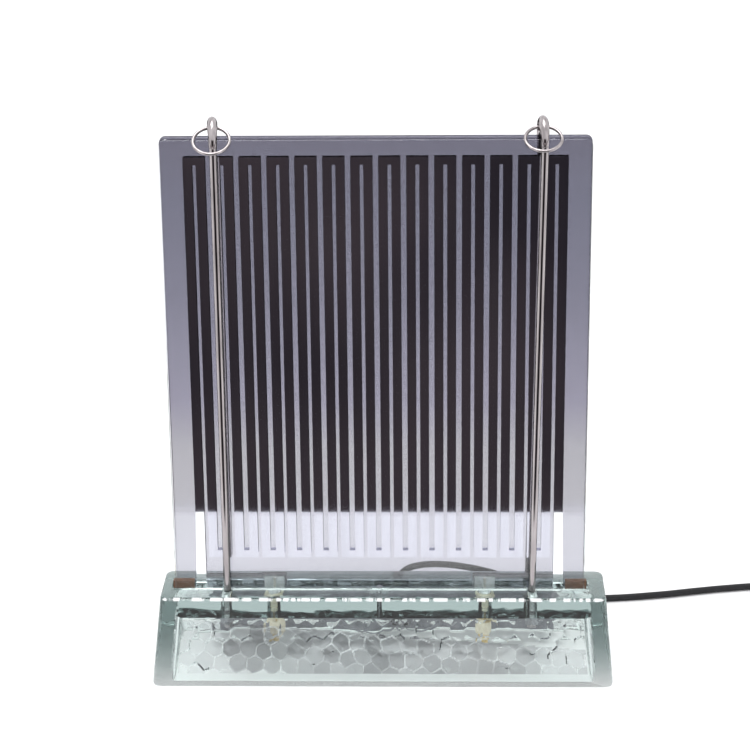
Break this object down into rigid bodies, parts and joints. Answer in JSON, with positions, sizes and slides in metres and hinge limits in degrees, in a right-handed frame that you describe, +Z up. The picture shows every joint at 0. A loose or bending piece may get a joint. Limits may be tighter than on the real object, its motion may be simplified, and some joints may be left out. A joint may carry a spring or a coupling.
{
  "type": "glass radiant heater",
  "caption": "Electric glass table heater: upright plates with serpentine metal film on a hollow moulded glass base, held by plated rods under ringed bows, with a black rubber cord",
  "frame": {"origin": "bottom centre of the object without its cord, on the surface it stands on", "axes": "+X to the right as seen from the front, +Y from front to back, +Z up"},
  "size_m": [0.603, 0.2467, 0.4161],
  "materials": {
    "moulded_glass": "polished clear with a green cast",
    "plate_glass": "polished clear",
    "aluminium_film": "mirror bright",
    "plating": "polished",
    "steel": "dull",
    "fibre": "matt brown vulcanised fibre",
    "steatite": "unglazed cream",
    "pale_block": "pale translucent",
    "grey_board": "matt grey insulating board",
    "rubber": "matt",
    "bakelite": "moulded phenolic",
    "brass": "turned",
    "cord_rubber": "smooth black rubber",
    "cotton": "grey braided cotton sleeve"
  },
  "bodies": {
    "heater": {"glass_base": "moulded_glass", "front_plate": "plate_glass", "rear_plate": "plate_glass", "front_film": "aluminium_film", "rear_film": "aluminium_film", "corner_spacer_left": "fibre", "terminal_block_left": "pale_block", "strap_front_left": "steel", "strap_rear_left": "steel", "terminal_bolt_left": "brass", "ceramic_bead_left": "steatite", "terminal_lug_left": "brass", "terminal_nut_left": "brass", "ceramic_bush_left": "steatite", "corner_spacer_right": "fibre", "terminal_block_right": "pale_block", "strap_front_right": "steel", "strap_rear_right": "steel", "terminal_bolt_right": "brass", "ceramic_bead_right": "steatite", "terminal_lug_right": "brass", "terminal_nut_right": "brass", "ceramic_bush_right": "steatite", "centre_bolt": "steel", "centre_nut": "steel", "board_bracket": "steel", "lining_board": "grey_board", "rod_front_left": "plating", "rod_bush_front_left": "pale_block", "rod_washer_front_left": "steel", "rod_nut_front_left": "steel", "rod_rear_left": "plating", "rod_bush_rear_left": "pale_block", "rod_washer_rear_left": "steel", "rod_nut_rear_left": "steel", "rod_front_right": "plating", "rod_bush_front_right": "pale_block", "rod_washer_front_right": "steel", "rod_nut_front_right": "steel", "rod_rear_right": "plating", "rod_bush_rear_right": "pale_block", "rod_washer_rear_right": "steel", "rod_nut_rear_right": "steel", "bow_left": "plating", "lead_left": "cotton", "bow_right": "plating", "lead_right": "cotton", "strain_relief": "rubber", "gland_nut": "steel", "cord_main": "cord_rubber", "cord_coil": "cord_rubber", "cord_tail": "cord_rubber", "plug_body": "bakelite", "plug_pin_front": "brass", "plug_pin_rear": "brass"},
    "left_ring": {"ring_left": "plating"},
    "right_ring": {"ring_right": "plating"}
  },
  "joints": [
    {"name": "left_ring_hinge", "type": "hinge", "parent": "heater", "child": "left_ring", "pos_m": [-0.1168, 0, 0.4084], "axis": [-1, 0, 0], "range_deg": [-9, 254]},
    {"name": "right_ring_hinge", "type": "hinge", "parent": "heater", "child": "right_ring", "pos_m": [0.11485, 0, 0.4084], "axis": [-1, 0, 0], "range_deg": [-13, 250]}
  ]
}
